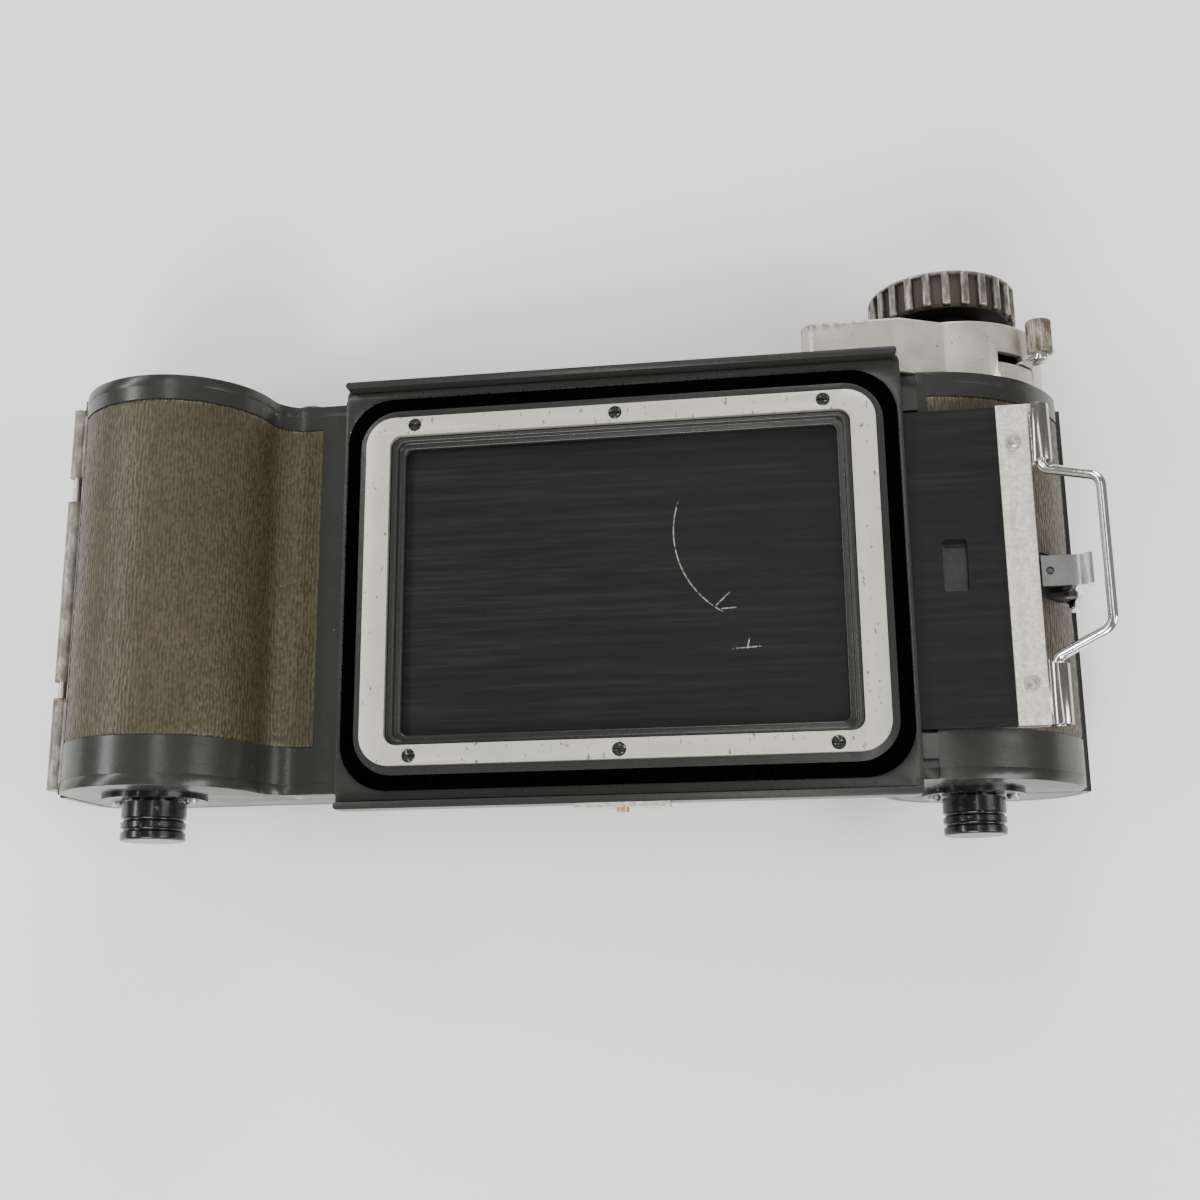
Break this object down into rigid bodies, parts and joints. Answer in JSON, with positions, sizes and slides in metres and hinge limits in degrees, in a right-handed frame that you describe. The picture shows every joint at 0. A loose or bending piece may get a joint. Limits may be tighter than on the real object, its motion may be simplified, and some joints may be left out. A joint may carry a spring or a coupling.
{
  "type": "roll film holder",
  "caption": "Knob-wound roll film holder for a press camera, with dark slide, hinged back, pull knobs, guide rollers and a frame counter.",
  "frame": {"origin": "centre of the camera face, which is the front of the silver ring", "axes": "+X along the film's travel to the take-up end, +Y along the spools towards the winding knob, +Z towards the lens"},
  "size_m": [0.2085, 0.1164, 0.0687],
  "materials": {
    "ring_metal": "satin, worn",
    "black_screw": "blackened",
    "case_paint": "semi-gloss dark grey",
    "velvet": "black pile",
    "leatherette": "crinkled grain, olive taupe",
    "bright_steel": "satin",
    "chrome_wire": "polished",
    "brass_stud": "worn",
    "black_metal": "gloss black",
    "slide_sheet": "matte charcoal with streaks",
    "housing_metal": "satin, pitted",
    "knob_metal": "worn ribs",
    "steel_pin": "plain",
    "gear_brass": "machined",
    "window_clear": "clear",
    "spool_plastic": "black",
    "dial_white": "matte"
  },
  "bodies": {
    "cover": {"cover_shell": "case_paint", "cover_end_walls": "case_paint", "cover_leatherette": "leatherette", "hinge_cover_leaf": "bright_steel", "hinge_pin": "steel_pin", "pressure_springs": "steel_pin"},
    "holder_body": {"gate_ring": "ring_metal", "ring_screws": "black_screw", "front_flange": "case_paint", "groove_velvet": "velvet", "window_bezel": "case_paint", "slide_felt": "velvet", "catch_plate": "bright_steel", "catch_stud": "brass_stud", "gate_plate": "case_paint", "film_rails": "bright_steel", "supply_shell": "case_paint", "supply_leatherette": "leatherette", "takeup_shell": "case_paint", "takeup_leatherette": "leatherette", "foot_end_wall": "case_paint", "knob_end_wall": "case_paint", "supply_escutcheon": "black_metal", "takeup_escutcheon": "black_metal", "escutcheon_screws": "bright_steel", "knob_springs": "steel_pin", "supply_stud": "steel_pin", "roller_pins": "steel_pin", "roller_cap": "black_metal", "hinge_body_leaf": "bright_steel", "latch_pin": "steel_pin", "winder_housing": "housing_metal", "housing_screws": "bright_steel", "index_dots": "bright_steel", "winder_bushing": "gear_brass", "winder_posts": "steel_pin", "counter_window": "window_clear"},
    "dark_slide": {"dark_slide": "slide_sheet", "slide_handle": "bright_steel", "slide_rivets": "bright_steel"},
    "slide_bail": {"slide_bail": "chrome_wire"},
    "supply_knob": {"supply_knob": "black_metal"},
    "takeup_knob": {"takeup_knob": "black_metal"},
    "winder": {"winding_knob": "knob_metal", "knob_screw": "bright_steel", "drive_shaft": "steel_pin", "drive_pinion": "gear_brass", "ratchet_wheel": "steel_pin", "takeup_spool": "spool_plastic"},
    "counter_idler": {"counter_idler": "gear_brass"},
    "counter": {"counter_gear": "gear_brass", "counter_dial": "dial_white"},
    "release_lever": {"release_lever": "bright_steel", "lever_post": "knob_metal"},
    "pawl": {"pawl": "steel_pin"},
    "supply_roller": {"supply_roller": "bright_steel"},
    "takeup_roller": {"takeup_roller": "bright_steel"},
    "latch": {"latch_lever": "chrome_wire"},
    "pressure_plate": {"pressure_plate": "black_metal"}
  },
  "joints": [
    {"name": "body_swing", "type": "hinge", "parent": "cover", "child": "holder_body", "pos_m": [-0.1126, 0, 0.005], "axis": [0, -1, 0], "range_deg": [0, 100]},
    {"name": "dark_slide_pull", "type": "slide", "parent": "holder_body", "child": "dark_slide", "axis": [1, 0, 0], "range_m": [0, 0.103]},
    {"name": "bail_swing", "type": "hinge", "parent": "dark_slide", "child": "slide_bail", "pos_m": [0.0835, 0, -0.00455], "axis": [0, -1, 0], "range_deg": [-28, 80]},
    {"name": "supply_knob_pull", "type": "slide", "parent": "holder_body", "child": "supply_knob", "axis": [0, -1, 0], "range_m": [0, 0.0055], "stiffness_N_per_m": 600, "springref_m": -0.001},
    {"name": "takeup_knob_pull", "type": "slide", "parent": "holder_body", "child": "takeup_knob", "axis": [0, -1, 0], "range_m": [0, 0.0055], "stiffness_N_per_m": 600, "springref_m": -0.001},
    {"name": "film_wind", "type": "hinge", "parent": "holder_body", "child": "winder", "pos_m": [0.0684, 0, -0.0285], "axis": [0, 1, 0], "continuous": true},
    {"name": "counter_idler_turn", "type": "hinge", "parent": "holder_body", "child": "counter_idler", "pos_m": [0.05641, 0, -0.02127], "axis": [0, 1, 0], "continuous": true},
    {"name": "counter_turn", "type": "hinge", "parent": "holder_body", "child": "counter", "pos_m": [0.05186, 0, -0.01622], "axis": [0, 1, 0], "continuous": true},
    {"name": "release_lever_swing", "type": "hinge", "parent": "holder_body", "child": "release_lever", "pos_m": [0.0684, 0, -0.0285], "axis": [0, -1, 0], "range_deg": [0, 14], "stiffness_Nm_per_rad": 0.02, "springref_deg": -8.59},
    {"name": "pawl_lift", "type": "hinge", "parent": "holder_body", "child": "pawl", "pos_m": [0.07901, 0, -0.01789], "axis": [0, -1, 0], "range_deg": [0, 10.5]},
    {"name": "supply_roller_turn", "type": "hinge", "parent": "holder_body", "child": "supply_roller", "pos_m": [-0.0668, 0, -0.0092], "axis": [0, 1, 0], "continuous": true},
    {"name": "takeup_roller_turn", "type": "hinge", "parent": "holder_body", "child": "takeup_roller", "pos_m": [0.056, 0, -0.0136], "axis": [0, 1, 0], "continuous": true},
    {"name": "latch_swing", "type": "hinge", "parent": "holder_body", "child": "latch", "pos_m": [0.0888, 0, -0.0176], "axis": [0, -1, 0], "range_deg": [0, 9], "stiffness_Nm_per_rad": 0.03, "springref_deg": -8.59},
    {"name": "pressure_float", "type": "slide", "parent": "cover", "child": "pressure_plate", "axis": [0, 0, -1], "range_m": [0, 0.001], "stiffness_N_per_m": 800, "springref_m": -0.0003, "deforming": ["pressure_springs"]}
  ],
  "couplings": [
    {"joint": "counter_idler_turn", "follows": "film_wind", "ratio": -0.4},
    {"joint": "counter_turn", "follows": "film_wind", "ratio": 0.16667},
    {"joint": "pawl_lift", "follows": "release_lever_swing", "ratio": 0.7}
  ]
}
